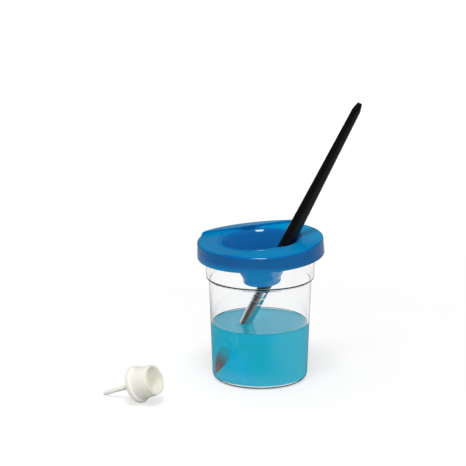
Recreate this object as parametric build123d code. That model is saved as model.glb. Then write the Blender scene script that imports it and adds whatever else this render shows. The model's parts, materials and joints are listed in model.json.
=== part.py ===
from build123d import *
import math
import os

# Spill-resistant brush washer: a clear tapered cup, a press-on lid whose middle drops into the cup as a
# funnel, a loose stopper for the funnel's throat, the rinsing water and one round brush standing in it.
# Millimetres. +Z is up, the origin is on the cup's axis on the surface that the cup stands on, and the
# front of the washer is -Y.

os.makedirs("parts", exist_ok=True)

# ---- cup ----
cup_base_radius = 30.0
cup_base_rounding = 3.8
cup_base_thickness = 1.5
cup_wall = 1.2
cup_taper = 2.4
shoulder_height = 64.6
shoulder_step = 1.6
shoulder_rise = 1.4
shoulder_rounding = 0.5
mouth_height = 20.4
mouth_flare = 0.75
flange_overhang = 2.85
flange_thickness = 1.2
flange_rounding = 0.4

# ---- lid ----
skirt_clearance = 0.6
skirt_wall = 1.8
skirt_depth = 8.9
skirt_corner = 0.5
lid_draft = 0.4
lid_wall = 1.6
channel_end_rounding = 1.0
channel_half_width = 24.6
back_step = 2.0
back_fall = 9.0
front_step = 0.4
front_fall = 5.5
segment_edge_rounding = 2.0
step_rounding_share = 0.35
foot_margin = 0.2
crest_margin = 0.03
channel_turn = 17.0
mouth_ring_depth = 5.5
mouth_ring_wall = 1.2
mouth_ring_rounding = 0.4
mouth_clearance = 0.3

# The lid sits askew on the cup: pressed home at the front left only.
lid_roll = 2.8
lid_pitch = 1.9
lid_seat_gap = 0.2

# ---- funnel, part of the lid ----
funnel_rim_radius = 26.0
funnel_wall = 1.4
funnel_depth = 28.7
funnel_lip_width = 2.3
funnel_lip_drop = 1.3
funnel_lip_rounding = 8.0
waist_height = 9.0
waist_widening = 4.8
waist_rounding = 40.0
throat_radius = 10.6
throat_land = 3.7
throat_edge_rounding = 0.8
collar_wall = 1.4
collar_rounding = 1.6
rim_bead_radius = 0.65
rim_bead_rise = 0.5

# ---- stopper ----
flange_lap = 1.0
flange_edge = 3.0
flange_corner = 1.2
dome_rise = 2.2
dome_flat_radius = 5.2
dome_rounding = 5.0
plug_clearance = 0.5
plug_taper = 0.7
plug_length = 11.1
plug_wall = 1.5
plug_hollow_depth = 9.6
plug_hollow_draft = 0.2
plug_root_rounding = 0.3
plug_lip_rounding = 0.3
plug_floor_rounding = 1.5
plug_groove_depth = 0.35
plug_groove_width = 0.8
plug_groove_from_rim = 2.4
stem_radius = 1.35
stem_length = 22.5
stem_root_rounding = 1.2
stem_end_rounding = 0.3
stem_inlay = 0.5
stopper_heading = -28.0
stopper_x = -75.3
stopper_y = -50.5

# ---- water ----
water_level = 36.0
water_gap = 0.08

# ---- brush ----
brush_length = 194.0
brush_tip_turn = 14.0
brush_heading = 9.0
brush_tip_lift = 1.5
brush_tip_clearance = 1.8
brush_funnel_clearance = 0.25
brush_water_gap = 0.1
tuft_length = 24.0
tuft_belly_radius = 3.65
tuft_tip_radius = 0.12
tuft_root_length = 8.0
ferrule_length = 37.0
ferrule_mouth_radius = 3.5
ferrule_flare = 0.55
ferrule_wall = 0.3
ferrule_lip_rounding = 0.12
crimp_depth = 0.2
crimp_width = 1.3
crimp_rounding = 0.25
crimps_from_end = (8.5, 4.0)
inside_clearance = 0.05
resin_plug_length = 9.0
resin_plug_gap = 0.1
tenon_end_rounding = 0.4
handle_step = 0.1
handle_swell = 0.28
handle_belly_radius = 4.45
handle_belly_at = 22.0
handle_end_radius = 2.75
handle_cone_length = 5.0
handle_cone_tip_radius = 1.5
handle_cone_rounding = 0.8

# Curves of the brush, as (share of the radius, share of the length) pairs. The tuft's pairs run from its
# tip to its root. The handle's run from its belly to its end cone, as shares of how much wider the belly
# is than the cone.
tuft_curve = ((0.42, 0.14), (0.8, 0.3), (1.0, 0.52))
tuft_neck_share = 0.86
handle_swell_share = 0.45
handle_curve = ((0.8, 0.25), (0.47, 0.53), (0.2, 0.8))

# How far a cutting solid runs past what it cuts.
past = 5.0

# ---- sizes that follow from the ones above ----
shoulder_radius = cup_base_radius + cup_taper
cup_rim_radius = shoulder_radius + shoulder_step + mouth_flare
cup_height = shoulder_height + shoulder_rise + mouth_height
flange_outer_radius = cup_rim_radius + flange_overhang
shoulder_slope = shoulder_rise / shoulder_step
shoulder_lift = cup_wall * (math.hypot(1, shoulder_slope) - shoulder_slope)

# The lid is modelled level, with its underside at height zero, and is set on the cup afterwards.
lid_turn = Rot(0, -lid_roll, 0) * Rot(lid_pitch, 0, 0)
lid_tilt = math.acos(math.cos(math.radians(lid_roll)) * math.cos(math.radians(lid_pitch)))
seat_radius = flange_outer_radius - flange_rounding
seat_rise = (seat_radius * math.sin(lid_tilt) + flange_rounding) / math.cos(lid_tilt) - flange_rounding
lid_place = Pos(0, 0, cup_height + seat_rise + lid_seat_gap) * lid_turn

lid_inner_radius = flange_outer_radius + skirt_clearance
lid_radius = lid_inner_radius + skirt_wall
far_out = lid_radius + past

neck_bottom = lid_wall - funnel_depth
land_top = neck_bottom + throat_land
waist_top = land_top + waist_height
waist_radius = throat_radius + waist_widening
lip_radius = funnel_rim_radius - funnel_lip_width
lip_bottom = lid_wall - funnel_lip_drop
waist_slope = waist_widening / waist_height
bowl_slope = (lip_radius - waist_radius) / (lip_bottom - waist_top)
waist_wall = funnel_wall * math.hypot(1, waist_slope)
bowl_wall = funnel_wall * math.hypot(1, bowl_slope)
waist_shift = (waist_wall - bowl_wall) / (bowl_slope - waist_slope)
collar_radius = throat_radius + collar_wall
collar_top = land_top + (collar_radius - throat_radius - waist_wall) / waist_slope

flange_radius = throat_radius + flange_lap
plug_root_radius = throat_radius - plug_clearance
plug_tip_radius = plug_root_radius - plug_taper

ferrule_end_radius = ferrule_mouth_radius + ferrule_flare
handle_start = tuft_length + ferrule_length
handle_start_radius = ferrule_end_radius - handle_step
handle_length = brush_length - handle_start


def turned(points, rounding):
    # Solid of revolution about Z. The outline is closed and given as (radius, height) points, with one
    # corner rounding for each point.
    outline = FilletPolyline(*points, radius=rounding, close=True)
    return revolve(Plane.XZ * make_face(outline), Axis.Z)


def ridge(points, rounding):
    # Bar along X, wider than the lid, whose section is given as (Y, height) points.
    outline = FilletPolyline(*points, radius=rounding, close=True)
    return extrude(Plane.YZ * make_face(outline), amount=far_out, both=True)


def cup_inner_radius(height):
    # Radius of the cup's bore below the shoulder.
    low = cup_base_radius - cup_wall
    high = shoulder_radius - cup_wall
    share = (height - cup_base_thickness) / (shoulder_height + shoulder_lift - cup_base_thickness)
    return low + (high - low) * share


def brush_line():
    # The brush leans across the cup: its tip by the wall just over the floor, its handle against the
    # lower edge of the funnel's lip. That edge is a circle in the askew lid, and the brush crosses above
    # it at the end of a chord. Gives the tip's place and the direction to the handle's end.
    height = cup_base_thickness + brush_tip_lift
    reach = cup_inner_radius(height) - brush_tip_clearance
    tip_x = -reach * math.cos(math.radians(brush_tip_turn))
    tip_y = -reach * math.sin(math.radians(brush_tip_turn))
    ahead_x = math.cos(math.radians(brush_heading))
    ahead_y = math.sin(math.radians(brush_heading))
    lid_plane = Plane(lid_place)
    middle = lid_plane.from_local_coords((0, 0, lip_bottom))
    up = lid_plane.z_dir
    ahead = (middle.X - tip_x) * ahead_x + (middle.Y - tip_y) * ahead_y
    aside = (middle.Y - tip_y) * ahead_x - (middle.X - tip_x) * ahead_y
    half_chord = math.sqrt(lip_radius**2 - aside**2)
    across = ahead + half_chord
    edge_x = tip_x + across * ahead_x - middle.X
    edge_y = tip_y + across * ahead_y - middle.Y
    climb = (up.X * edge_x + up.Y * edge_y) / up.Z
    rise = middle.Z - climb - height
    off_support = (handle_belly_radius + brush_funnel_clearance) * lip_radius / half_chord
    lean = math.atan2(across, rise) - math.asin(off_support / math.hypot(across, rise))
    direction = (math.sin(lean) * ahead_x, math.sin(lean) * ahead_y, math.cos(lean))
    return (tip_x, tip_y, height), direction


def mouth_radius(height):
    # Radius of the cup's bore above the shoulder.
    low = shoulder_radius + shoulder_step - cup_wall
    high = cup_rim_radius - cup_wall
    start = shoulder_height + shoulder_rise + shoulder_lift
    return low + (high - low) * (height - start) / (cup_height - start)


def make_cup():
    shoulder_top = shoulder_height + shoulder_rise
    outside = [
        (0, 0),
        (cup_base_radius, 0),
        (shoulder_radius, shoulder_height),
        (shoulder_radius + shoulder_step, shoulder_top),
        (cup_rim_radius, cup_height - flange_thickness),
        (flange_outer_radius, cup_height - flange_thickness),
        (flange_outer_radius, cup_height),
    ]
    inside = [
        (cup_rim_radius - cup_wall, cup_height),
        (shoulder_radius + shoulder_step - cup_wall, shoulder_top + shoulder_lift),
        (shoulder_radius - cup_wall, shoulder_height + shoulder_lift),
        (cup_base_radius - cup_wall, cup_base_thickness),
        (0, cup_base_thickness),
    ]
    outside_rounding = [0, cup_base_rounding, shoulder_rounding, shoulder_rounding]
    outside_rounding += [flange_rounding, flange_rounding, flange_rounding]
    inside_rounding = [flange_rounding, shoulder_rounding, shoulder_rounding]
    inside_rounding += [cup_base_rounding - cup_wall, 0]
    return turned(outside + inside, outside_rounding + inside_rounding)


def skirt_radius(height):
    # The skirt's drafted outside.
    return lid_radius - lid_draft * (height + skirt_depth) / (lid_wall + skirt_depth)


def segment_top(distance, step, fall):
    # Height of a raised segment's top, which falls from its straight inner edge to the lid's rim.
    return lid_wall + step - math.tan(math.radians(fall)) * (distance - channel_half_width)


def make_raised_segment(step, fall):
    # The lid's outside beyond one edge of the brush channel: a segment one step above the channel, with
    # its straight inner wall on the channel's +Y side.
    tall = segment_top(-far_out, step, fall)
    far_top = segment_top(far_out, step, fall)
    low = -skirt_depth - past
    disc = turned(
        [(0, -skirt_depth), (lid_radius, -skirt_depth), (skirt_radius(tall), tall), (0, tall)],
        [0, skirt_corner, 0, 0],
    )
    falling = [(-far_out, low), (-far_out, tall), (far_out, far_top), (far_out, low)]
    domed = disc & ridge(falling, [0, 0, 0, 0])
    top = domed.faces().sort_by(Axis.Z)[-1]
    domed = fillet(top.edges(), segment_edge_rounding)
    rounding = step_rounding_share * step
    edge = channel_half_width - rounding - foot_margin
    section = [
        (edge, low),
        (edge, lid_wall),
        (channel_half_width, lid_wall),
        (channel_half_width, lid_wall + step + crest_margin),
        (far_out, far_top + past),
        (far_out, low),
    ]
    return domed & ridge(section, [0, 0, rounding, rounding, 0, 0])


def make_channel_band():
    # The lid's outside under the brush channel, from one step's foot to the other's.
    disc = turned(
        [(0, -skirt_depth), (lid_radius, -skirt_depth), (lid_radius - lid_draft, lid_wall), (0, lid_wall)],
        [0, skirt_corner, channel_end_rounding, 0],
    )
    front = step_rounding_share * front_step + foot_margin - channel_half_width
    back = channel_half_width - foot_margin - step_rounding_share * back_step
    low = -skirt_depth - past
    high = lid_wall + past
    return disc & ridge([(front, low), (back, low), (back, high), (front, high)], [0, 0, 0, 0])


def mouth_ring_radius():
    # Outside of the ring in the cup's mouth, clear of the bore although the lid is askew.
    bore = mouth_radius(cup_height - mouth_ring_depth)
    swing = mouth_ring_depth * math.sin(lid_tilt)
    return bore - swing - mouth_clearance


def make_segment_pocket(step, fall):
    # The hollow under a raised segment, one wall inside it. It is over the cup's flange only, so that the
    # mouth ring stays joined to the lid.
    near = channel_half_width + lid_wall
    section = [
        (near, -past),
        (near, segment_top(near, step, fall) - lid_wall),
        (far_out, segment_top(far_out, step, fall) - lid_wall),
        (far_out, -past),
    ]
    over_flange = Cylinder(flange_outer_radius, 2 * far_out) - Cylinder(mouth_ring_radius(), 2 * far_out)
    return over_flange & ridge(section, [0, 0, 0, 0])


def make_funnel_body():
    # Outside of the funnel: a collar at the neck, a steep waist and a wider cone up to the band.
    top = lid_wall / 2
    top_radius = waist_radius + bowl_wall + (top - waist_top) * bowl_slope
    return turned(
        [
            (0, neck_bottom),
            (collar_radius, neck_bottom),
            (collar_radius, collar_top),
            (waist_radius + waist_wall + waist_shift * waist_slope, waist_top + waist_shift),
            (top_radius, top),
            (0, top),
        ],
        [0, collar_rounding, collar_rounding, waist_rounding, 0, 0],
    )


def make_funnel_void():
    # The way through the funnel: throat, waist, bowl and lip, and the open air over them between the
    # steps on both sides of the channel.
    over = lid_wall + past
    way = turned(
        [
            (0, neck_bottom - past),
            (throat_radius, neck_bottom - past),
            (throat_radius, land_top),
            (waist_radius, waist_top),
            (lip_radius, lip_bottom),
            (funnel_rim_radius, lid_wall),
            (funnel_rim_radius, over),
            (0, over),
        ],
        [0, 0, throat_edge_rounding, waist_rounding, funnel_lip_rounding, 0, 0, 0],
    )
    side = channel_half_width
    low = neck_bottom - 2 * past
    high = over + past
    return way & ridge([(-side, low), (side, low), (side, high), (-side, high)], [0, 0, 0, 0])


def make_rim_bead():
    # Half-round bead that keeps drips from running over the funnel's rim.
    centre = (funnel_rim_radius + rim_bead_radius, lid_wall + rim_bead_rise - rim_bead_radius)
    return revolve(Plane.XZ * (Pos(*centre) * Circle(rim_bead_radius)), Axis.Z)


def make_mouth_ring():
    # Ring that hangs from the lid into the cup's mouth and centres the lid.
    radius = mouth_ring_radius()
    return turned(
        [
            (radius - mouth_ring_wall, -mouth_ring_depth),
            (radius, -mouth_ring_depth),
            (radius, lid_wall / 2),
            (radius - mouth_ring_wall, lid_wall / 2),
        ],
        [0, mouth_ring_rounding, 0, 0],
    )


def make_lid():
    half_turn = Rot(0, 0, 180)
    outside = make_channel_band() + make_raised_segment(back_step, back_fall)
    outside += half_turn * make_raised_segment(front_step, front_fall)
    shell = outside - Pos(0, 0, -skirt_depth) * Cylinder(lid_inner_radius, 2 * skirt_depth)
    shell -= make_segment_pocket(back_step, back_fall)
    funnelled = shell + make_mouth_ring() + make_funnel_body()
    level = funnelled - make_funnel_void() + make_rim_bead()
    return lid_place * Rot(0, 0, channel_turn) * level


def make_stopper_upright():
    # Stopper with its stem down. The flange's widest circle is at height zero.
    plug_start = flange_edge / 2
    dome_top = flange_edge / 2 + dome_rise
    plug_end = plug_start + plug_length
    groove_at = plug_end - plug_groove_from_rim
    taper = (plug_root_radius - plug_tip_radius) / plug_length
    groove_radius = plug_tip_radius + taper * plug_groove_from_rim
    body = turned(
        [
            (0, -dome_top),
            (dome_flat_radius, -dome_top),
            (flange_radius, -plug_start),
            (flange_radius, plug_start),
            (plug_root_radius, plug_start),
            (plug_tip_radius, plug_end),
            (plug_tip_radius - plug_wall, plug_end),
            (plug_tip_radius - plug_wall - plug_hollow_draft, plug_end - plug_hollow_depth),
            (0, plug_end - plug_hollow_depth),
        ],
        [
            0,
            dome_rounding,
            flange_corner,
            flange_corner,
            plug_root_rounding,
            plug_lip_rounding,
            plug_lip_rounding,
            plug_floor_rounding,
            0,
        ],
    )
    groove = turned(
        [
            (groove_radius - plug_groove_depth, groove_at - plug_groove_width / 2),
            (groove_radius + past, groove_at - plug_groove_width / 2),
            (groove_radius + past, groove_at + plug_groove_width / 2),
            (groove_radius - plug_groove_depth, groove_at + plug_groove_width / 2),
        ],
        [0, 0, 0, 0],
    )
    stem = turned(
        [
            (0, -dome_top - stem_length),
            (stem_radius, -dome_top - stem_length),
            (stem_radius, -dome_top),
            (stem_radius + 2 * stem_root_rounding, -dome_top),
            (stem_radius + 2 * stem_root_rounding, -dome_top + stem_inlay),
            (0, -dome_top + stem_inlay),
        ],
        [0, stem_end_rounding, stem_root_rounding, 0, 0, 0],
    )
    return body + stem - groove


def make_stopper():
    # Stem end and flange edge both rest on the surface, with the plug's mouth raised.
    stem_end = flange_edge / 2 + dome_rise + stem_length
    edge_radius = flange_radius - flange_corner
    edge_height = flange_edge / 2 - flange_corner
    run = stem_end - edge_height
    rise = edge_radius - stem_radius
    tilt = math.atan2(rise, run) + math.asin(flange_corner / math.hypot(run, rise))
    laid = Rot(0, 0, stopper_heading) * Rot(0, 90 - math.degrees(tilt), 0) * make_stopper_upright()
    lowest = laid.bounding_box().min.Z
    return Pos(stopper_x, stopper_y, -lowest) * laid


def ferrule_radius(along):
    # Outside of the ferrule at a distance from its mouth.
    return ferrule_mouth_radius + ferrule_flare * along / ferrule_length


def placed(brush_piece):
    # Brush pieces are modelled tip down on +Z and set on the leaning brush's own line.
    tip, direction = brush_line()
    return Plane(origin=tip, z_dir=direction) * brush_piece


def along_brush(points, grow=0):
    # Solid of revolution whose side is a smooth curve through (radius, distance from the tip) points.
    side = [(radius + grow, along) for radius, along in points]
    start = side[0]
    end = side[-1]
    curve = Spline(*side)
    ends = Line((0, start[1]), start) + Line(end, (0, end[1])) + Line((0, end[1]), (0, start[1]))
    return revolve(Plane.XZ * make_face(curve + ends), Axis.Z)


def make_tuft(grow=0):
    root = ferrule_radius(0) - ferrule_wall - inside_clearance
    visible = [(tuft_tip_radius, -grow)]
    visible += [(tuft_belly_radius * wide, tuft_length * along) for wide, along in tuft_curve]
    visible += [(root + tuft_tip_radius, tuft_length * tuft_neck_share), (root, tuft_length)]
    tuft = along_brush(visible, grow)
    held = Pos(0, 0, tuft_length + tuft_root_length / 2) * Cylinder(root, tuft_root_length)
    return tuft + held


def ferrule_outline(offset, start, end):
    # Side of the ferrule with its rolled grooves, moved inwards by an offset.
    points = [(ferrule_radius(start) - offset, start)]
    for from_end in crimps_from_end:
        spot = ferrule_length - from_end
        points.append((ferrule_radius(spot) - offset, spot - crimp_width / 2))
        points.append((ferrule_radius(spot) - offset - crimp_depth, spot))
        points.append((ferrule_radius(spot) - offset, spot + crimp_width / 2))
    points.append((ferrule_radius(end) - offset, end))
    return points


def make_ferrule():
    outer = ferrule_outline(0, 0, ferrule_length)
    inner = ferrule_outline(ferrule_wall, 0, ferrule_length)
    outline = outer + inner[::-1]
    side = [ferrule_lip_rounding] + [crimp_rounding] * (len(outer) - 2) + [ferrule_lip_rounding]
    return Pos(0, 0, tuft_length) * turned(outline, side + side)


def make_resin_plug():
    # Plug that holds the hairs' bound ends and the handle's tenon apart inside the ferrule.
    start = tuft_root_length + resin_plug_gap
    end = start + resin_plug_length
    gap = ferrule_wall + inside_clearance
    plug = turned(
        [(0, start), (ferrule_radius(start) - gap, start), (ferrule_radius(end) - gap, end), (0, end)],
        [0, 0, 0, 0],
    )
    return Pos(0, 0, tuft_length) * plug


def make_handle():
    # A tenon inside the ferrule, a belly where the fingers hold it, and a long taper to a blunt cone.
    tenon_start = tuft_root_length + resin_plug_length + 2 * resin_plug_gap
    tenon_end = ferrule_length + handle_step
    tenon_off = ferrule_wall + crimp_depth + inside_clearance
    tenon = turned(
        [
            (0, tenon_start),
            (ferrule_radius(tenon_start) - tenon_off, tenon_start),
            (ferrule_radius(tenon_end) - tenon_off, tenon_end),
            (0, tenon_end),
        ],
        [0, tenon_end_rounding, 0, 0],
    )
    cone_start = handle_length - handle_cone_length
    taper = handle_belly_radius - handle_end_radius
    run = cone_start - handle_belly_at
    side = [
        (handle_start_radius, inside_clearance),
        (handle_start_radius + handle_swell, handle_belly_at * handle_swell_share),
        (handle_belly_radius, handle_belly_at),
    ]
    for over, along in handle_curve:
        side.append((handle_end_radius + taper * over, handle_belly_at + run * along))
    side.append((handle_end_radius, cone_start))
    grip = along_brush(side)
    end = turned(
        [
            (0, cone_start),
            (handle_end_radius, cone_start),
            (handle_cone_tip_radius, handle_length),
            (0, handle_length),
        ],
        [0, 0, handle_cone_rounding, 0],
    )
    return Pos(0, 0, tuft_length) * tenon + Pos(0, 0, handle_start) * (grip + end)


def make_water():
    # Fills the cup to its level, just clear of the cup and of the dipped brush.
    low = cup_base_thickness + water_gap
    body = turned(
        [
            (0, low),
            (cup_inner_radius(low) - water_gap, low),
            (cup_inner_radius(water_level) - water_gap, water_level),
            (0, water_level),
        ],
        [0, cup_base_rounding - cup_wall, 0, 0],
    )
    dipped_ferrule = turned(
        [
            (0, 0),
            (ferrule_radius(0) + brush_water_gap, 0),
            (ferrule_radius(ferrule_length) + brush_water_gap, ferrule_length),
            (0, ferrule_length),
        ],
        [0, 0, 0, 0],
    )
    dipped = make_tuft(brush_water_gap) + Pos(0, 0, tuft_length - brush_water_gap) * dipped_ferrule
    return body - placed(dipped)


pieces = {
    "cup": make_cup(),
    "lid": make_lid(),
    "stopper": make_stopper(),
    "water": make_water(),
    "brush_handle": placed(make_handle()),
    "brush_ferrule": placed(make_ferrule()),
    "brush_hair": placed(make_tuft()),
    "hair_resin_plug": placed(make_resin_plug()),
}

for name, piece in pieces.items():
    export_step(piece, f"parts/{name}.step")
    print(name, round(piece.volume), "mm3")
print("brush tip and direction", *brush_line())
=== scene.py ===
import json
import math
import random

import bpy
from mathutils import Matrix, Vector


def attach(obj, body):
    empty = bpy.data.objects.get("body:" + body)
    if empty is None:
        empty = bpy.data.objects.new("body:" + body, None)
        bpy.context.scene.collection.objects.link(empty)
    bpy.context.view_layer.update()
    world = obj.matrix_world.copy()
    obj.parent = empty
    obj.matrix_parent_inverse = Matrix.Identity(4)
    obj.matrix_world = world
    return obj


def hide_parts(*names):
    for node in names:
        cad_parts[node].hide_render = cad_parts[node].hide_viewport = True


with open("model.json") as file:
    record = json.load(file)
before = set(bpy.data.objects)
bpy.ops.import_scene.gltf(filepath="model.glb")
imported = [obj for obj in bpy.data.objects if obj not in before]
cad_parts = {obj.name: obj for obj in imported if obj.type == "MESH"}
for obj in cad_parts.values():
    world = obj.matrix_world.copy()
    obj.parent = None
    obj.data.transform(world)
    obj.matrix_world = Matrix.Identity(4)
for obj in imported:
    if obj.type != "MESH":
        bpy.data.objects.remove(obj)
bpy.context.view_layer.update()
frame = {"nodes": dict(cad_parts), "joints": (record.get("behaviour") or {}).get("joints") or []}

scene = bpy.context.scene
mm = 0.001


def hexColour(code):
    # sRGB hex to the linear values that the shaders take
    parts = [int(code[i:i + 2], 16) / 255 for i in (1, 3, 5)]
    linear = [c / 12.92 if c <= 0.04045 else ((c + 0.055) / 1.055) ** 2.4 for c in parts]
    return (*linear, 1.0)


def addNode(tree, kind, settings=None, links=None):
    # a setting goes to the socket of that name or number, or else to the node's own property
    node = tree.nodes.new(kind)
    for name, value in (settings or {}).items():
        if isinstance(name, int) or name in node.inputs:
            node.inputs[name].default_value = value
        else:
            setattr(node, name, value)
    for name, output in (links or {}).items():
        tree.links.new(output, node.inputs[name])
    return node


def newMaterial(name, settings):
    material = bpy.data.materials.new(name)
    material.use_nodes = True
    tree = material.node_tree
    shader = tree.nodes["Principled BSDF"]
    for socket, value in settings.items():
        shader.inputs[socket].default_value = value
    return material, tree, shader


def dress(nodeName, material):
    # a CAD node keeps its mesh and takes the finish in every slot
    node = frame["nodes"][nodeName]
    if not node.material_slots:
        node.data.materials.append(material)
    for slot in node.material_slots:
        slot.material = material


def addPiece(name, verts, faces, material, body):
    mesh = bpy.data.meshes.new(name)
    mesh.from_pydata([tuple(v) for v in verts], [], faces)
    mesh.validate()
    for polygon in mesh.polygons:
        polygon.use_smooth = True
    mesh.materials.append(material)
    piece = bpy.data.objects.new(name, mesh)
    scene.collection.objects.link(piece)
    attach(piece, body)
    return piece


def ringFaces(first, rings, sides):
    # quads from each ring of points to the next, and a cap on the first ring and the last
    faces = []
    for ring in range(rings - 1):
        for side in range(sides):
            a = first + ring * sides + side
            b = first + ring * sides + (side + 1) % sides
            faces.append((a, b, b + sides, a + sides))
    last = first + (rings - 1) * sides
    faces.append(tuple(first + side for side in reversed(range(sides))))
    faces.append(tuple(last + side for side in range(sides)))
    return faces


# camera: looks along +Y from the front, a little above the cup (mm and degrees)
view = {
    "aim": (-17.1, 0.0, 93.9),
    "distance": 1400.0,
    "elevation": 14.5,
    "lens": 172.5,
    "sensor": 36.0,
    "farEnd": 50.0,  # m
}


def makeCamera():
    tilt = math.radians(view["elevation"])
    data = bpy.data.cameras.new("camera")
    data.lens = view["lens"]
    data.sensor_width = view["sensor"]
    data.clip_end = view["farEnd"]
    camera = bpy.data.objects.new("camera", data)
    back = Vector((0, -math.cos(tilt), math.sin(tilt)))
    camera.location = (Vector(view["aim"]) + back * view["distance"]) * mm
    camera.rotation_euler = (math.pi / 2 - tilt, 0, 0)
    scene.collection.objects.link(camera)
    scene.camera = camera


makeCamera()
print("camera set")


# soft studio (metres and degrees): one softbox almost overhead, a small spot for the stopper, and a
# pale room and table. What a gloss mirrors of them and what a clear wall mirrors are set apart.
studio = {
    "keySize": 0.32,
    "keyDistance": 1.3,
    "keyElevation": 68,
    "keyAzimuth": -6,
    "keyPower": 6.8,
    "aimHeight": 0.06,
    "roomLight": 0.78,
    "backdrop": 1.0,
    "firstMirror": 0.5,  # a glossy depth under this: no gloss has turned the ray yet
    "mirrorAlong": (0.45, 0.6, -0.65),  # the mirrored room brightens this way: right, back and low
    "mirrorSpan": (0.1, 0.75),
    "mirrorTones": (0.03, 0.28),
    "grazeAlong": (0.0, 0.966, -0.259),  # edges seen at a graze mirror the bright backdrop behind
    "grazeSpan": (0.9, 0.96),
    "grazeFloor": (0.04, 0.2),
    "grazeShare": 0.22,
    "glassAlong": (0.6, 1.0, 0.0),  # what lies within clear walls mirrors a room that brightens this way
    "glassSpan": (-0.72, -0.1),
    "glassTones": (0.1, 1.0),
    "glassFloorAlong": (1.0, 0.35, 0.0),  # and a table that is bright beyond these distances
    "glassFloor": (-0.01, 0.04),
    "glassNear": (0.058, 0.044),
    "spotPower": 17.0,
    "spotPlace": (0.1, -1.0, 0.35),
    "spotAim": (-0.078, -0.05, 0.012),
    "spotAngle": 6.5,
    "spotBlend": 0.7,
    "spotRadius": 0.06,
    "floorSize": 6.0,
    "floorDrop": 0.00005,
    "floorTone": 0.45,
    "floorMirrorTone": 0.24,
    "floorLift": (0.58, 0.85),  # near the object, and far off where the softbox fades
    "floorReach": (0.2, 1.2),
}


def makeSoftbox():
    data = bpy.data.lights.new("softbox", "AREA")
    data.shape = "SQUARE"
    data.size = studio["keySize"]
    data.energy = studio["keyPower"]
    lamp = bpy.data.objects.new("softbox", data)
    up = math.radians(studio["keyElevation"])
    turn = math.radians(studio["keyAzimuth"])
    away = Vector((math.sin(turn) * math.cos(up), -math.cos(turn) * math.cos(up), math.sin(up)))
    lamp.location = away * studio["keyDistance"] + Vector((0, 0, studio["aimHeight"]))
    lamp.rotation_euler = away.to_track_quat("Z", "Y").to_euler()
    scene.collection.objects.link(lamp)


def makeSpot():
    # a small lamp for the stopper alone, from beside the camera
    data = bpy.data.lights.new("stopperSpot", "SPOT")
    data.energy = studio["spotPower"]
    data.spot_size = math.radians(studio["spotAngle"])
    data.spot_blend = studio["spotBlend"]
    data.shadow_soft_size = studio["spotRadius"]
    lamp = bpy.data.objects.new("stopperSpot", data)
    lamp.location = studio["spotPlace"]
    toward = Vector(studio["spotAim"]) - lamp.location
    lamp.rotation_euler = toward.to_track_quat("-Z", "Y").to_euler()
    scene.collection.objects.link(lamp)


def byRay(tree, light, mirrored, glazed, seen):
    # one value for rays that carry light, one for what a gloss mirrors, one for what a clear wall
    # mirrors, and one for the camera, straight or through clear walls
    path = addNode(tree, "ShaderNodeLightPath").outputs
    unmirrored = addNode(tree, "ShaderNodeMath", {"operation": "LESS_THAN", 1: studio["firstMirror"]},
                         {0: path["Glossy Depth"]}).outputs[0]
    through = addNode(tree, "ShaderNodeMath", {"operation": "MULTIPLY"},
                      {0: path["Is Transmission Ray"], 1: unmirrored}).outputs[0]
    direct = addNode(tree, "ShaderNodeMath", {"operation": "MAXIMUM"},
                     {0: path["Is Camera Ray"], 1: through}).outputs[0]
    kinds = ((path["Is Glossy Ray"], mirrored), (path["Is Transmission Ray"], glazed), (direct, seen))
    value = light
    for share, other in kinds:
        value = addNode(tree, "ShaderNodeMix", {"data_type": "FLOAT"},
                        {0: share, 2: value, 3: other}).outputs[0]
    return value


def steady(tree, number):
    node = addNode(tree, "ShaderNodeValue")
    node.outputs[0].default_value = number
    return node.outputs[0]


def makeRoom():
    world = bpy.data.worlds.new("studioRoom")
    scene.world = world
    world.use_nodes = True
    tree = world.node_tree
    tree.nodes.clear()
    coords = addNode(tree, "ShaderNodeTexCoord").outputs["Generated"]
    along = addNode(tree, "ShaderNodeVectorMath", {"operation": "DOT_PRODUCT", 1: studio["mirrorAlong"]},
                    {0: coords}).outputs["Value"]
    mirrored = addNode(tree, "ShaderNodeMapRange", {
        1: studio["mirrorSpan"][0], 2: studio["mirrorSpan"][1],
        3: studio["mirrorTones"][0], 4: studio["mirrorTones"][1],
    }, {0: along}).outputs["Result"]
    behind = addNode(tree, "ShaderNodeVectorMath", {"operation": "DOT_PRODUCT", 1: studio["grazeAlong"]},
                     {0: coords}).outputs["Value"]
    grazing = addNode(tree, "ShaderNodeMapRange", {
        1: studio["grazeSpan"][0], 2: studio["grazeSpan"][1], 4: studio["grazeShare"],
    }, {0: behind}).outputs["Result"]
    mirrored = addNode(tree, "ShaderNodeMath", {"operation": "MAXIMUM"}, {0: mirrored, 1: grazing}).outputs[0]
    within = addNode(tree, "ShaderNodeVectorMath", {"operation": "DOT_PRODUCT", 1: studio["glassAlong"]},
                     {0: coords}).outputs["Value"]
    glazed = addNode(tree, "ShaderNodeMapRange", {
        1: studio["glassSpan"][0], 2: studio["glassSpan"][1],
        3: studio["glassTones"][0], 4: studio["glassTones"][1],
    }, {0: within}).outputs["Result"]
    backdrop = steady(tree, studio["backdrop"])
    strength = byRay(tree, steady(tree, studio["roomLight"]), mirrored, glazed, backdrop)
    light = addNode(tree, "ShaderNodeBackground", {}, {"Strength": strength})
    addNode(tree, "ShaderNodeOutputWorld", {}, {"Surface": light.outputs[0]})


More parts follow.
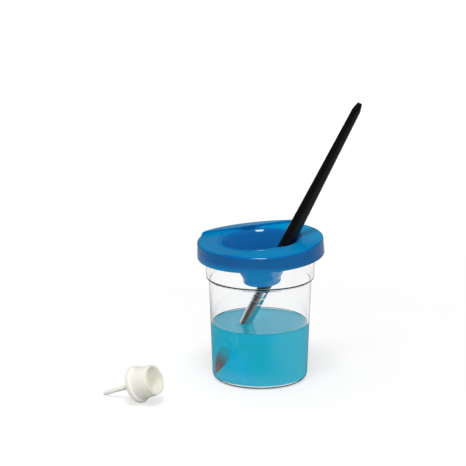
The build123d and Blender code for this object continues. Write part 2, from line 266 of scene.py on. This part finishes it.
def makeFloor():
    half = studio["floorSize"] / 2
    mesh = bpy.data.meshes.new("floor")
    corners = [(-half, -half, 0), (half, -half, 0), (half, half, 0), (-half, half, 0)]
    mesh.from_pydata(corners, [], [(0, 1, 2, 3)])
    floor = bpy.data.objects.new("floor", mesh)
    floor.location.z = -studio["floorDrop"]
    scene.collection.objects.link(floor)
    material = bpy.data.materials.new("paleTable")
    material.use_nodes = True
    tree = material.node_tree
    tree.nodes.clear()
    place = addNode(tree, "ShaderNodeTexCoord").outputs["Object"]
    away = addNode(tree, "ShaderNodeVectorMath", {"operation": "LENGTH"}, {0: place}).outputs["Value"]
    lift = addNode(tree, "ShaderNodeMapRange", {
        1: studio["floorReach"][0], 2: studio["floorReach"][1],
        3: studio["floorLift"][0], 4: studio["floorLift"][1],
    }, {0: away}).outputs["Result"]
    back = addNode(tree, "ShaderNodeSeparateXYZ", {}, {"Vector": place}).outputs["Y"]
    grazing = addNode(tree, "ShaderNodeMapRange", {
        1: studio["grazeFloor"][0], 2: studio["grazeFloor"][1], 4: studio["floorLift"][1],
    }, {0: back}).outputs["Result"]
    within = addNode(tree, "ShaderNodeVectorMath", {"operation": "DOT_PRODUCT", 1: studio["glassFloorAlong"]},
                     {0: place}).outputs["Value"]
    aside = addNode(tree, "ShaderNodeMapRange", {
        1: studio["glassFloor"][0], 2: studio["glassFloor"][1], 4: studio["floorLift"][1],
    }, {0: within}).outputs["Result"]
    near = addNode(tree, "ShaderNodeMapRange", {
        1: studio["glassNear"][0], 2: studio["glassNear"][1], 4: studio["floorLift"][1],
    }, {0: away}).outputs["Result"]
    glazed = addNode(tree, "ShaderNodeMath", {"operation": "MAXIMUM"}, {0: aside, 1: near}).outputs[0]
    glazed = addNode(tree, "ShaderNodeMath", {"operation": "MAXIMUM"}, {0: glazed, 1: grazing}).outputs[0]
    full = steady(tree, studio["floorTone"])
    dim = steady(tree, studio["floorMirrorTone"])
    none = steady(tree, 0.0)
    faint = addNode(tree, "ShaderNodeMath", {"operation": "MULTIPLY", 1: studio["grazeShare"]},
                    {0: grazing}).outputs[0]
    matt = addNode(tree, "ShaderNodeBsdfDiffuse", {}, {"Color": byRay(tree, full, dim, dim, full)})
    glow = addNode(tree, "ShaderNodeEmission", {}, {"Strength": byRay(tree, none, faint, glazed, lift)})
    both = addNode(tree, "ShaderNodeAddShader", {}, {0: matt.outputs[0], 1: glow.outputs[0]})
    addNode(tree, "ShaderNodeOutputMaterial", {}, {"Surface": both.outputs[0]})
    mesh.materials.append(material)


makeSoftbox()
makeSpot()
makeRoom()
makeFloor()
print("studio set")


# lid: polypropylene, injection moulded. A blue under a clean gloss, with a very faint
# orange peel from the steel mould and a slow drift of tone where the melt ran. Over that is painted light:
# upward faces take a painted lighter blue and sides a painted darker one, and the far flats, the back
# step's wall and the neck are painted paler.
lid = {
    # painted shade and light: a darker blue for the sides and a lighter one for the upward faces
    "shadedSideColour": "#0D69B0",
    "shadedSidePale": "#1270B8",
    "litTopColour": "#0081BC",
    "litTopPale": "#0089C4",
    "farLitColour": "#009CD8",  # painted light: the flats away from the softbox, to the right and the back, are painted paler
    "farLightAlong": (0.6, 0.8, 0.0),
    "farLightFrom": (4.0, 22.0),
    "stepLitColour": "#008ACC",  # painted light: the back step's wall is painted paler, as it faces the light
    "stepFrom": (88.6, 89.4),
    "stepBehind": 12.0,
    "stepOutside": 25.0,  # from the cup's axis, so the funnel's wall is left as it is
    "litTopFrom": (0.7, 0.97),  # how upright a face is where the painted lighter blue for light from above sets in
    "neckColour": "#009AE0",  # painted light: the neck is painted the lightest, for the light through its thin wall
    "neckFrom": (82.0, 78.0),
    "neckUpright": 0.2,  # faces that look up more than this keep the wall's own blue
    "roughness": (0.07, 0.13),
    "ior": 1.49,
    "softness": 0.1,
    "softDepth": 1.0,
    "softReach": (0.2, 0.6, 1.0),  # blue light goes deepest
    "peelSize": 1.4,
    "peelDetail": 1.5,
    "peelDepth": 0.001,
    "flowSize": 26.0,
    "flowDetail": 2.0,
    "flowSpan": (0.35, 0.7),
}


def polypropyleneMoulded():
    material, tree, shader = newMaterial("polypropyleneMouldedBlue", {
        "IOR": lid["ior"],
        "Subsurface Weight": lid["softness"],
        "Subsurface Radius": lid["softReach"],
        "Subsurface Scale": lid["softDepth"] * mm,
    })
    place = addNode(tree, "ShaderNodeTexCoord").outputs["Object"]
    flow = addNode(tree, "ShaderNodeTexNoise", {
        "Scale": 1 / (lid["flowSize"] * mm), "Detail": lid["flowDetail"],
    }, {"Vector": place}).outputs["Fac"]
    share = addNode(tree, "ShaderNodeMapRange", {
        "From Min": lid["flowSpan"][0], "From Max": lid["flowSpan"][1],
    }, {"Value": flow})
    side = addNode(tree, "ShaderNodeMix", {
        "data_type": "RGBA", 6: hexColour(lid["shadedSideColour"]), 7: hexColour(lid["shadedSidePale"]),
    }, {0: share.outputs["Result"]})
    top = addNode(tree, "ShaderNodeMix", {
        "data_type": "RGBA", 6: hexColour(lid["litTopColour"]), 7: hexColour(lid["litTopPale"]),
    }, {0: share.outputs["Result"]})
    # painted light and shade: faces that look up in the lid's own frame take the lighter blue
    facing = addNode(tree, "ShaderNodeTexCoord").outputs["Normal"]
    upright = addNode(tree, "ShaderNodeSeparateXYZ", {}, {"Vector": facing}).outputs["Z"]
    litTopShare = addNode(tree, "ShaderNodeMapRange", {
        "interpolation_type": "SMOOTHSTEP", 1: lid["litTopFrom"][0], 2: lid["litTopFrom"][1],
    }, {0: upright}).outputs["Result"]
    height = addNode(tree, "ShaderNodeSeparateXYZ", {}, {"Vector": place}).outputs["Z"]
    low = addNode(tree, "ShaderNodeMapRange", {
        1: lid["neckFrom"][0] * mm, 2: lid["neckFrom"][1] * mm,
    }, {0: height}).outputs["Result"]
    outward = addNode(tree, "ShaderNodeMath", {"operation": "LESS_THAN", 1: lid["neckUpright"]},
                      {0: upright}).outputs[0]
    neckLightShare = addNode(tree, "ShaderNodeMath", {"operation": "MULTIPLY"}, {0: low, 1: outward}).outputs[0]
    # painted light: the neck's outward faces below the skirt take the lighter blue
    walls = addNode(tree, "ShaderNodeMix", {"data_type": "RGBA", 7: hexColour(lid["neckColour"])},
                    {0: neckLightShare, 6: side.outputs[2]})
    high = addNode(tree, "ShaderNodeMapRange", {
        1: lid["stepFrom"][0] * mm, 2: lid["stepFrom"][1] * mm,
    }, {0: height}).outputs["Result"]
    back = addNode(tree, "ShaderNodeSeparateXYZ", {}, {"Vector": place}).outputs["Y"]
    behind = addNode(tree, "ShaderNodeMath", {"operation": "GREATER_THAN", 1: lid["stepBehind"] * mm},
                     {0: back}).outputs[0]
    flat = addNode(tree, "ShaderNodeVectorMath", {"operation": "MULTIPLY", 1: (1, 1, 0)},
                   {0: place}).outputs[0]
    radius = addNode(tree, "ShaderNodeVectorMath", {"operation": "LENGTH"}, {0: flat}).outputs["Value"]
    outside = addNode(tree, "ShaderNodeMath", {"operation": "GREATER_THAN", 1: lid["stepOutside"] * mm},
                      {0: radius}).outputs[0]
    region = addNode(tree, "ShaderNodeMath", {"operation": "MULTIPLY"}, {0: behind, 1: outside}).outputs[0]
    stepLightShare = addNode(tree, "ShaderNodeMath", {"operation": "MULTIPLY"}, {0: high, 1: region}).outputs[0]
    # painted light: the back step's wall, behind and outside the funnel, takes a paler blue
    walls = addNode(tree, "ShaderNodeMix", {"data_type": "RGBA", 7: hexColour(lid["stepLitColour"])},
                    {0: stepLightShare, 6: walls.outputs[2]})
    # painted light: the flats towards the right and the back grow paler
    along = addNode(tree, "ShaderNodeVectorMath", {"operation": "DOT_PRODUCT", 1: lid["farLightAlong"]},
                    {0: place}).outputs["Value"]
    far = addNode(tree, "ShaderNodeMapRange", {
        1: lid["farLightFrom"][0] * mm, 2: lid["farLightFrom"][1] * mm,
    }, {0: along}).outputs["Result"]
    litFlats = addNode(tree, "ShaderNodeMix", {"data_type": "RGBA", 7: hexColour(lid["farLitColour"])},
                    {0: far, 6: top.outputs[2]})
    tone = addNode(tree, "ShaderNodeMix", {"data_type": "RGBA"},
                   {0: litTopShare, 6: walls.outputs[2], 7: litFlats.outputs[2]})
    rough = lid["roughness"]
    shine = addNode(tree, "ShaderNodeMapRange", {"To Min": rough[0], "To Max": rough[1]}, {"Value": flow})
    peel = addNode(tree, "ShaderNodeTexNoise", {
        "Scale": 1 / (lid["peelSize"] * mm), "Detail": lid["peelDetail"],
    }, {"Vector": place}).outputs["Fac"]
    bump = addNode(tree, "ShaderNodeBump", {"Distance": lid["peelDepth"] * mm}, {"Height": peel})
    tree.links.new(tone.outputs[2], shader.inputs["Base Color"])
    tree.links.new(shine.outputs["Result"], shader.inputs["Roughness"])
    tree.links.new(bump.outputs["Normal"], shader.inputs["Normal"])
    return material


dress("lid", polypropyleneMoulded())
print("lid dressed")


# cup: crystal polystyrene, injection moulded. Hard, clear and bright, faintly blue where it is
# thick, with the long shallow waves that the cooling wall leaves.
cup = {
    "ior": 1.36,
    "tint": "#B4DCEC",
    "tintDensity": 3.0,
    "waveSize": 14.0,
    "waveDetail": 0.5,
    "waveDepth": 0.0015,
}


def polystyreneClear():
    material, tree, shader = newMaterial("polystyreneMouldedClear", {
        "Base Color": (1, 1, 1, 1),
        "IOR": cup["ior"],
        "Transmission Weight": 1.0,
        "Roughness": 0.0,
    })
    absorb = addNode(tree, "ShaderNodeVolumeAbsorption", {
        "Color": hexColour(cup["tint"]), "Density": cup["tintDensity"],
    })
    place = addNode(tree, "ShaderNodeTexCoord").outputs["Object"]
    wave = addNode(tree, "ShaderNodeTexNoise", {
        "Scale": 1 / (cup["waveSize"] * mm), "Detail": cup["waveDetail"],
    }, {"Vector": place}).outputs["Fac"]
    bump = addNode(tree, "ShaderNodeBump", {"Distance": cup["waveDepth"] * mm}, {"Height": wave})
    tree.links.new(bump.outputs["Normal"], shader.inputs["Normal"])
    tree.links.new(absorb.outputs[0], tree.nodes["Material Output"].inputs["Volume"])
    return material


dress("cup", polystyreneClear())
print("cup dressed")


# stopper: low-density polyethylene, injection moulded. Warm off-white, a little waxy, and thin walls
# let some light in.
stopper = {
    "colour": "#F7F5EC",
    "duskColour": "#F1EFE4",
    "roughness": (0.34, 0.46),
    "ior": 1.51,
    "softness": 0.3,
    "softDepth": 1.2,
    "softReach": (1.0, 0.9, 0.7),
    "grainSize": 0.5,
    "grainDetail": 2.0,
    "grainDepth": 0.006,
}


def polyethyleneMoulded():
    material, tree, shader = newMaterial("polyethyleneMouldedOffWhite", {
        "IOR": stopper["ior"],
        "Subsurface Weight": stopper["softness"],
        "Subsurface Radius": stopper["softReach"],
        "Subsurface Scale": stopper["softDepth"] * mm,
    })
    place = addNode(tree, "ShaderNodeTexCoord").outputs["Object"]
    grain = addNode(tree, "ShaderNodeTexNoise", {
        "Scale": 1 / (stopper["grainSize"] * mm), "Detail": stopper["grainDetail"],
    }, {"Vector": place}).outputs["Fac"]
    tone = addNode(tree, "ShaderNodeMix", {
        "data_type": "RGBA", 6: hexColour(stopper["duskColour"]), 7: hexColour(stopper["colour"]),
    }, {0: grain})
    rough = stopper["roughness"]
    shine = addNode(tree, "ShaderNodeMapRange", {"To Min": rough[0], "To Max": rough[1]}, {"Value": grain})
    bump = addNode(tree, "ShaderNodeBump", {"Distance": stopper["grainDepth"] * mm}, {"Height": grain})
    tree.links.new(tone.outputs[2], shader.inputs["Base Color"])
    tree.links.new(shine.outputs["Result"], shader.inputs["Roughness"])
    tree.links.new(bump.outputs["Normal"], shader.inputs["Normal"])
    return material


dress("stopper", polyethyleneMoulded())
print("stopper dressed")


# brush: its line runs from the tip of the hair, by the cup's wall, up through the throat
brush = {
    "tipReach": 27.057,
    "tipTurn": 14.0,
    "tipHeight": 3.0,
    "tuftLength": 24.0,
    "bellyRadius": 3.65,
    "rootRadius": 3.15,
    "tipRadius": 0.12,
    "ferruleMouth": 3.5,
    "ferruleFlare": 0.55,
    "ferruleLength": 37.0,
}
brushAxis = Vector(next(j for j in frame["joints"] if j["name"] == "brush_pull")["axis"]).normalized()
tipTurn = math.radians(brush["tipTurn"])
tipAway = Vector((math.cos(tipTurn), math.sin(tipTurn), 0)) * brush["tipReach"]
brushTip = (Vector((0, 0, brush["tipHeight"])) - tipAway) * mm
brushFrame = Matrix.Translation(brushTip) @ brushAxis.to_track_quat("Z", "Y").to_matrix().to_4x4()


def alongBrush(tree, across, along):
    # object coordinates turned so that Z runs along the brush from its tip, in units of a pattern
    # that is drawn out along it
    place = addNode(tree, "ShaderNodeTexCoord").outputs["Object"]
    back = brushFrame.inverted()
    line = addNode(tree, "ShaderNodeMapping", {
        "vector_type": "POINT", "Rotation": back.to_euler(), "Location": back.to_translation(),
    }, {"Vector": place}).outputs["Vector"]
    stretch = addNode(tree, "ShaderNodeMapping", {
        "vector_type": "POINT", "Scale": (1 / (across * mm), 1 / (across * mm), 1 / (along * mm)),
    }, {"Vector": line}).outputs["Vector"]
    return line, stretch


# handle: birch, turned and dipped in black nitrocellulose lacquer. Deep black with a hard shine; the
# grain shows only as faint lengthwise waves under the lacquer.
handle = {
    "colour": "#0B0B0D",
    "warmColour": "#141011",
    "roughness": (0.18, 0.30),
    "ior": 1.5,
    "coat": 0.25,
    "coatRoughness": 0.08,
    "grainAcross": 0.8,
    "grainAlong": 30.0,
    "grainDetail": 3.0,
    "grainDepth": 0.008,
}


def lacqueredBirch():
    material, tree, shader = newMaterial("birchTurnedBlackLacquer", {
        "IOR": handle["ior"],
        "Coat Weight": handle["coat"],
        "Coat Roughness": handle["coatRoughness"],
    })
    stretch = alongBrush(tree, handle["grainAcross"], handle["grainAlong"])[1]
    grain = addNode(tree, "ShaderNodeTexNoise", {"Scale": 1.0, "Detail": handle["grainDetail"]},
                    {"Vector": stretch}).outputs["Fac"]
    tone = addNode(tree, "ShaderNodeMix", {
        "data_type": "RGBA", 6: hexColour(handle["colour"]), 7: hexColour(handle["warmColour"]),
    }, {0: grain})
    rough = handle["roughness"]
    shine = addNode(tree, "ShaderNodeMapRange", {"To Min": rough[0], "To Max": rough[1]}, {"Value": grain})
    bump = addNode(tree, "ShaderNodeBump", {"Distance": handle["grainDepth"] * mm}, {"Height": grain})
    tree.links.new(tone.outputs[2], shader.inputs["Base Color"])
    tree.links.new(shine.outputs["Result"], shader.inputs["Roughness"])
    tree.links.new(bump.outputs["Normal"], shader.inputs["Normal"])
    return material


dress("brush_handle", lacqueredBirch())


# ferrule: brass tube, drawn and nickel plated. Mirror-bright, with faint drawing lines along it, drawn
# coarser than real ones so that they show.
ferrule = {
    "colour": "#D9DCDD",
    "roughness": (0.06, 0.16),
    "lineAcross": 0.25,
    "lineAlong": 12.0,
    "lineDetail": 2.0,
    "lineDepth": 0.001,
}


def platedBrass():
    material, tree, shader = newMaterial("brassDrawnNickelPlated", {
        "Base Color": hexColour(ferrule["colour"]),
        "Metallic": 1.0,
    })
    stretch = alongBrush(tree, ferrule["lineAcross"], ferrule["lineAlong"])[1]
    drawn = addNode(tree, "ShaderNodeTexNoise", {"Scale": 1.0, "Detail": ferrule["lineDetail"]},
                    {"Vector": stretch}).outputs["Fac"]
    rough = ferrule["roughness"]
    shine = addNode(tree, "ShaderNodeMapRange", {"To Min": rough[0], "To Max": rough[1]}, {"Value": drawn})
    bump = addNode(tree, "ShaderNodeBump", {"Distance": ferrule["lineDepth"] * mm}, {"Height": drawn})
    tree.links.new(shine.outputs["Result"], shader.inputs["Roughness"])
    tree.links.new(bump.outputs["Normal"], shader.inputs["Normal"])
    return material


dress("brush_ferrule", platedBrass())


# resin: epoxy, poured and cured. Cloudy amber, hidden inside the ferrule.
resin = {
    "colour": "#A07C36",
    "duskColour": "#7A5A22",
    "roughness": 0.45,
    "ior": 1.55,
    "cloudSize": 2.0,
}


def epoxyCured():
    material, tree, shader = newMaterial("epoxyCuredAmber", {
        "Roughness": resin["roughness"],
        "IOR": resin["ior"],
    })
    place = addNode(tree, "ShaderNodeTexCoord").outputs["Object"]
    cloud = addNode(tree, "ShaderNodeTexNoise", {"Scale": 1 / (resin["cloudSize"] * mm)}, {"Vector": place})
    tone = addNode(tree, "ShaderNodeMix", {
        "data_type": "RGBA", 6: hexColour(resin["duskColour"]), 7: hexColour(resin["colour"]),
    }, {0: cloud.outputs["Fac"]})
    tree.links.new(tone.outputs[2], shader.inputs["Base Color"])
    return material


dress("hair_resin_plug", epoxyCured())
print("handle and ferrule dressed")


# hair: dyed pony hair, wet and drawn to a point. Dull reddish brown at the tip; what is nearer the
# ferrule has taken up the turquoise paint, and that turquoise is also a painted haze of the lit cloudy
# water in front of it. The whole tuft has a faint painted glow.
hair = {
    "tipColour": "#CC6E60",
    "darkColour": "#A46C66",
    "paintAndHazeColour": "#10D8E8",
    "hazeGlowColour": "#003840",  # painted glow: stands in for the light that the paint in the water before the hair scatters
    "paintFrom": 9.0,
    "paintTo": 18.0,
    "paintShare": 1.0,
    "roughness": 0.35,
    "ior": 1.55,
    "strandAcross": 0.4,
    "strandAlong": 14.0,
    "strandDetail": 3.0,
    "strandSpan": (0.3, 0.7),
    "strandDepth": 0.08,
    "outline": ((0.14, 0.42), (0.3, 0.8), (0.52, 1.0)),  # shares of the length and the belly
    "rootShare": 0.86,
    "strandCount": 240,
    "strandRadius": 0.13,
    "strandSteps": 14,
    "strandSides": 5,
    "strandJitter": 0.4,
    "strandSway": 0.12,
    "tipStart": (0.1, 1.0),
    "lateStart": (1.0, 5.0),
    "strandLift": (-0.04, 0.03),
    "strandTail": 1.0,
    "strandTaper": (0.25, 4),  # its first thickness, and how fast it grows
    "strandLeast": 0.05,
    "coreShare": 0.93,
    "coreRings": 31,
    "coreSides": 40,
    "coreGroove": 0.05,
    "rootInside": 7.5,
    "seed": 7,
}


def tuftRadius(along):
    # the tuft's outline: full belly, drawn in at the ferrule, fine at the tip
    share = along / brush["tuftLength"]
    belly, root, tip = brush["bellyRadius"], brush["rootRadius"], brush["tipRadius"]
    points = [(0.0, tip)]
    points += [(at, wide * belly) for at, wide in hair["outline"]]
    points += [(hair["rootShare"], root + tip), (1.0, root)]
    for (low, a), (high, b) in zip(points, points[1:]):
        if share <= high:
            part = (share - low) / (high - low)
            return a + (b - a) * part
    return root


def ponyHairWet():
    material, tree, shader = newMaterial("ponyHairWet", {
        "Roughness": hair["roughness"],
        "IOR": hair["ior"],
        # painted glow over the whole tuft
        "Emission Color": hexColour(hair["hazeGlowColour"]),
        "Emission Strength": 1.0,
    })
    line, stretch = alongBrush(tree, hair["strandAcross"], hair["strandAlong"])
    height = addNode(tree, "ShaderNodeSeparateXYZ", {}, {"Vector": line}).outputs["Z"]
    strands = addNode(tree, "ShaderNodeTexNoise", {"Scale": 1.0, "Detail": hair["strandDetail"]},
                      {"Vector": stretch}).outputs["Fac"]
    share = addNode(tree, "ShaderNodeMapRange", {
        "From Min": hair["strandSpan"][0], "From Max": hair["strandSpan"][1],
    }, {"Value": strands})
    brown = addNode(tree, "ShaderNodeMix", {
        "data_type": "RGBA", 6: hexColour(hair["darkColour"]), 7: hexColour(hair["tipColour"]),
    }, {0: share.outputs["Result"]})
    # turquoise nearer the ferrule: the paint taken up, and a painted haze of the lit cloudy water in front
    paintAndHaze = addNode(tree, "ShaderNodeMapRange", {
        "From Min": hair["paintFrom"] * mm, "From Max": hair["paintTo"] * mm, "To Max": hair["paintShare"],
    }, {"Value": height})
    tone = addNode(tree, "ShaderNodeMix", {"data_type": "RGBA", 7: hexColour(hair["paintAndHazeColour"])},
                   {0: paintAndHaze.outputs["Result"], 6: brown.outputs[2]})
    bump = addNode(tree, "ShaderNodeBump", {"Distance": hair["strandDepth"] * mm}, {"Height": strands})
    tree.links.new(tone.outputs[2], shader.inputs["Base Color"])
    tree.links.new(bump.outputs["Normal"], shader.inputs["Normal"])
    return material


def coreRing(along, wide):
    # one ring of the middle of the tuft, lightly grooved between the outer hairs
    sides = hair["coreSides"]
    ring = []
    for side in range(sides):
        angle = 2 * math.pi * side / sides
        groove = wide * (1 - hair["coreGroove"] * (side % 2))
        ring.append((groove * math.cos(angle), groove * math.sin(angle), along))
    return ring


def strandRing(along, wide, turn, thick):
    # one ring of a single hair that lies at a turn round the tuft
    out = Vector((math.cos(turn), math.sin(turn), 0))
    across = Vector((-math.sin(turn), math.cos(turn), 0))
    middle = out * wide + Vector((0, 0, along))
    sides = hair["strandSides"]
    spins = [2 * math.pi * side / sides for side in range(sides)]
    return [middle + (out * math.cos(spin) + across * math.sin(spin)) * thick for spin in spins]


def makeTuft():
    rng = random.Random(hair["seed"])
    verts = []
    length = brush["tuftLength"]
    for ring in range(hair["coreRings"]):
        along = (length + hair["rootInside"]) * ring / (hair["coreRings"] - 1)
        verts += coreRing(along, tuftRadius(min(along, length)) * hair["coreShare"])
    faces = ringFaces(0, hair["coreRings"], hair["coreSides"])
    # single hairs over the core: a third run out right at the tip, the rest stop short of it
    jitter, swing = hair["strandJitter"], hair["strandSway"]
    firstThick, growth = hair["strandTaper"]
    for strand in range(hair["strandCount"]):
        angle = 2 * math.pi * (strand + rng.uniform(-jitter, jitter)) / hair["strandCount"]
        sway = rng.uniform(-swing, swing)
        start = rng.uniform(*(hair["tipStart"] if strand % 3 == 0 else hair["lateStart"]))
        lift = rng.uniform(*hair["strandLift"])
        first = len(verts)
        for step in range(hair["strandSteps"] + 1):
            part = step / hair["strandSteps"]
            along = start + (length + hair["strandTail"] - start) * part
            wide = tuftRadius(min(along, length)) * (1 + lift * (1 - part)) - hair["strandRadius"]
            thick = hair["strandRadius"] * min(1.0, firstThick + part * growth)
            verts += strandRing(along, max(wide, hair["strandLeast"]), angle + sway * (1 - part), thick)
        faces += ringFaces(first, hair["strandSteps"] + 1, hair["strandSides"])
    placed = [brushFrame @ (Vector(v) * mm) for v in verts]
    tuft = addPiece("hairTuft", placed, faces, ponyHairWet(), "brush")
    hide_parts("brush_hair")


makeTuft()
print("hair laid")


# water: clear at its skin and clouded with turquoise paint inside. The cloud lies close to the wall
# and draws back only in front of the hair, so the tip shows and the rest of the brush is lost in it.
# The cloud carries a painted glow of its own.
water = {
    "level": 36.0,
    "floor": 1.5,
    "shoulder": 64.6,
    "wallLow": 28.8,
    "wallHigh": 31.2,
    "cornerRadius": 2.6,
    "intoWall": 0.05,
    "offFloor": 0.05,
    "meniscusHeight": 0.9,
    "meniscusWidth": 1.1,
    "brushMeniscus": 0.7,
    "cloudInset": 0.45,
    "cloudBelow": 0.5,
    "pocketTurn": 216.0,
    "pocketHalf": 72.0,
    "pocketDepth": 20.0,
    "pocketTop": 30.0,
    "pocketFade": 2.6,
    "pocketFoot": 3.0,
    "colour": "#F4FCFD",
    "ior": 1.333,
    "driftSize": 16.0,
    "driftDetail": 1.0,
    "driftRoughness": 0.05,
    "cloudColour": "#00A4CE",
    "cloudDusk": "#009CC8",
    "paintedCloudGlow": "#008896",  # painted glow: stands in for the light that the cloudy water gathers and passes on from all around
    "cloudSize": 24.0,
    "cloudDetail": 2.0,
    "cloudTwist": 1.2,
    "cloudRoughness": 1.0,
    "cloudIor": 1.0,  # it hangs in the water, so it has no gloss of its own
    "segments": 160,
    "floorRings": 8,
    "cornerRings": 8,
    "wallRings": 40,
    "surfaceRings": 36,
    "surfaceCrowd": 1.6,  # rings lie closer to the wall, where the surface bends
    "middleRadius": 0.2,
}


def wallRadius(height):
    # the cup's bore, which widens towards the shoulder
    share = (height - water["floor"]) / (water["shoulder"] - water["floor"])
    return water["wallLow"] + (water["wallHigh"] - water["wallLow"]) * share


def ferruleDistance(x, y, z):
    # how far a point lies outside the ferrule, in mm
    point = Vector((x, y, z)) - brushTip / mm
    along = point.dot(brushAxis)
    off = (point - brushAxis * along).length
    flare = brush["ferruleFlare"] * (along - brush["tuftLength"]) / brush["ferruleLength"]
    return off - brush["ferruleMouth"] - flare


def surfaceHeight(x, y):
    # level water that climbs a little at the wall and at the ferrule
    fromWall = max(wallRadius(water["level"]) - math.hypot(x, y), 0)
    fromBrush = max(ferruleDistance(x, y, water["level"]), 0)
    wide = water["meniscusWidth"]
    climb = math.exp(-fromWall / wide) + water["brushMeniscus"] * math.exp(-fromBrush / wide)
    return water["level"] + water["meniscusHeight"] * climb


def pocketDepth(angle, height):
    # how far the cloud draws back from the wall at a turn round the cup
    turn = (angle - math.radians(water["pocketTurn"]) + math.pi) % (2 * math.pi) - math.pi
    foot = math.sin(math.pi / 2 * min(max((height - water["floor"]) / water["pocketFoot"], 0), 1))
    aside = min(abs(turn) / math.radians(water["pocketHalf"]), 1)
    rise = min(max((height - water["floor"]) / (water["pocketTop"] - water["floor"]), 0), 1)
    across = math.cos(math.pi / 2 * aside) ** 2
    return water["pocketDepth"] * across * (1 - rise ** water["pocketFade"]) * foot


def waterSide(inset, lift, top):
    # outline of the underside, the rounded corner and the wall, as (radius, height) points
    low = water["floor"] + lift
    corner = water["cornerRadius"]
    foot = wallRadius(low + corner) - inset - corner
    middle = water["middleRadius"]
    side = []
    for step in range(water["floorRings"]):
        side.append((middle + (foot - middle) * step / water["floorRings"], low))
    for step in range(water["cornerRings"]):
        turn = math.pi / 2 * step / water["cornerRings"]
        side.append((foot + corner * math.sin(turn), low + corner - corner * math.cos(turn)))
    for step in range(water["wallRings"] + 1):
        height = low + corner + (top - low - corner) * step / water["wallRings"]
        side.append((wallRadius(height) - inset, height))
    return side


def makeWaterBody(inset, lift, below, hollowed):
    # closed body of revolution under a surface with its meniscus; the cloud is hollowed by its pocket
    angles = [2 * math.pi * segment / water["segments"] for segment in range(water["segments"])]
    verts = []
    rings = 0
    for radius, height in waterSide(inset, lift, water["level"] - below):
        for angle in angles:
            dent = pocketDepth(angle, height) / wallRadius(height) if hollowed else 0
            wide = radius * (1 - dent)
            verts.append(Vector((wide * math.cos(angle), wide * math.sin(angle), height)))
        rings += 1
    top = wallRadius(water["level"]) - inset
    for step in range(water["surfaceRings"]):
        radius = top * (1 - (step / water["surfaceRings"]) ** water["surfaceCrowd"]) + water["middleRadius"]
        radius = min(radius, top)
        for angle in angles:
            x, y = radius * math.cos(angle), radius * math.sin(angle)
            verts.append(Vector((x, y, surfaceHeight(x, y) - below)))
        rings += 1
    return [v * mm for v in verts], ringFaces(0, rings, water["segments"])


def clearWater():
    material, tree, shader = newMaterial("rinsingWater", {
        "Base Color": hexColour(water["colour"]),
        "IOR": water["ior"],
        "Transmission Weight": 1.0,
    })
    place = addNode(tree, "ShaderNodeTexCoord").outputs["Object"]
    drift = addNode(tree, "ShaderNodeTexNoise", {
        "Scale": 1 / (water["driftSize"] * mm), "Detail": water["driftDetail"],
    }, {"Vector": place}).outputs["Fac"]
    shine = addNode(tree, "ShaderNodeMapRange", {"To Min": 0.0, "To Max": water["driftRoughness"]},
                    {"Value": drift})
    tree.links.new(shine.outputs["Result"], shader.inputs["Roughness"])
    return material


def turquoisePaint():
    material, tree, shader = newMaterial("turquoisePaintInWater", {
        "Roughness": water["cloudRoughness"],
        "IOR": water["cloudIor"],
        "Specular IOR Level": 0.0,
        # painted glow: the cloud gives off light of its own
        "Emission Color": hexColour(water["paintedCloudGlow"]),
        "Emission Strength": 1.0,
    })
    place = addNode(tree, "ShaderNodeTexCoord").outputs["Object"]
    swirl = addNode(tree, "ShaderNodeTexNoise", {
        "Scale": 1 / (water["cloudSize"] * mm),
        "Detail": water["cloudDetail"],
        "Distortion": water["cloudTwist"],
    }, {"Vector": place}).outputs["Fac"]
    tone = addNode(tree, "ShaderNodeMix", {
        "data_type": "RGBA", 6: hexColour(water["cloudDusk"]), 7: hexColour(water["cloudColour"]),
    }, {0: swirl})
    tree.links.new(tone.outputs[2], shader.inputs["Base Color"])
    return material


def makeWater():
    verts, faces = makeWaterBody(-water["intoWall"], water["offFloor"], 0.0, False)
    skin = addPiece("waterBody", verts, faces, clearWater(), "cup")
    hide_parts("water")
    verts, faces = makeWaterBody(water["cloudInset"], water["cloudInset"], water["cloudBelow"], True)
    addPiece("paintCloud", verts, faces, turquoisePaint(), "cup")


makeWater()
print("water filled")

scene.view_settings.view_transform = "Standard"
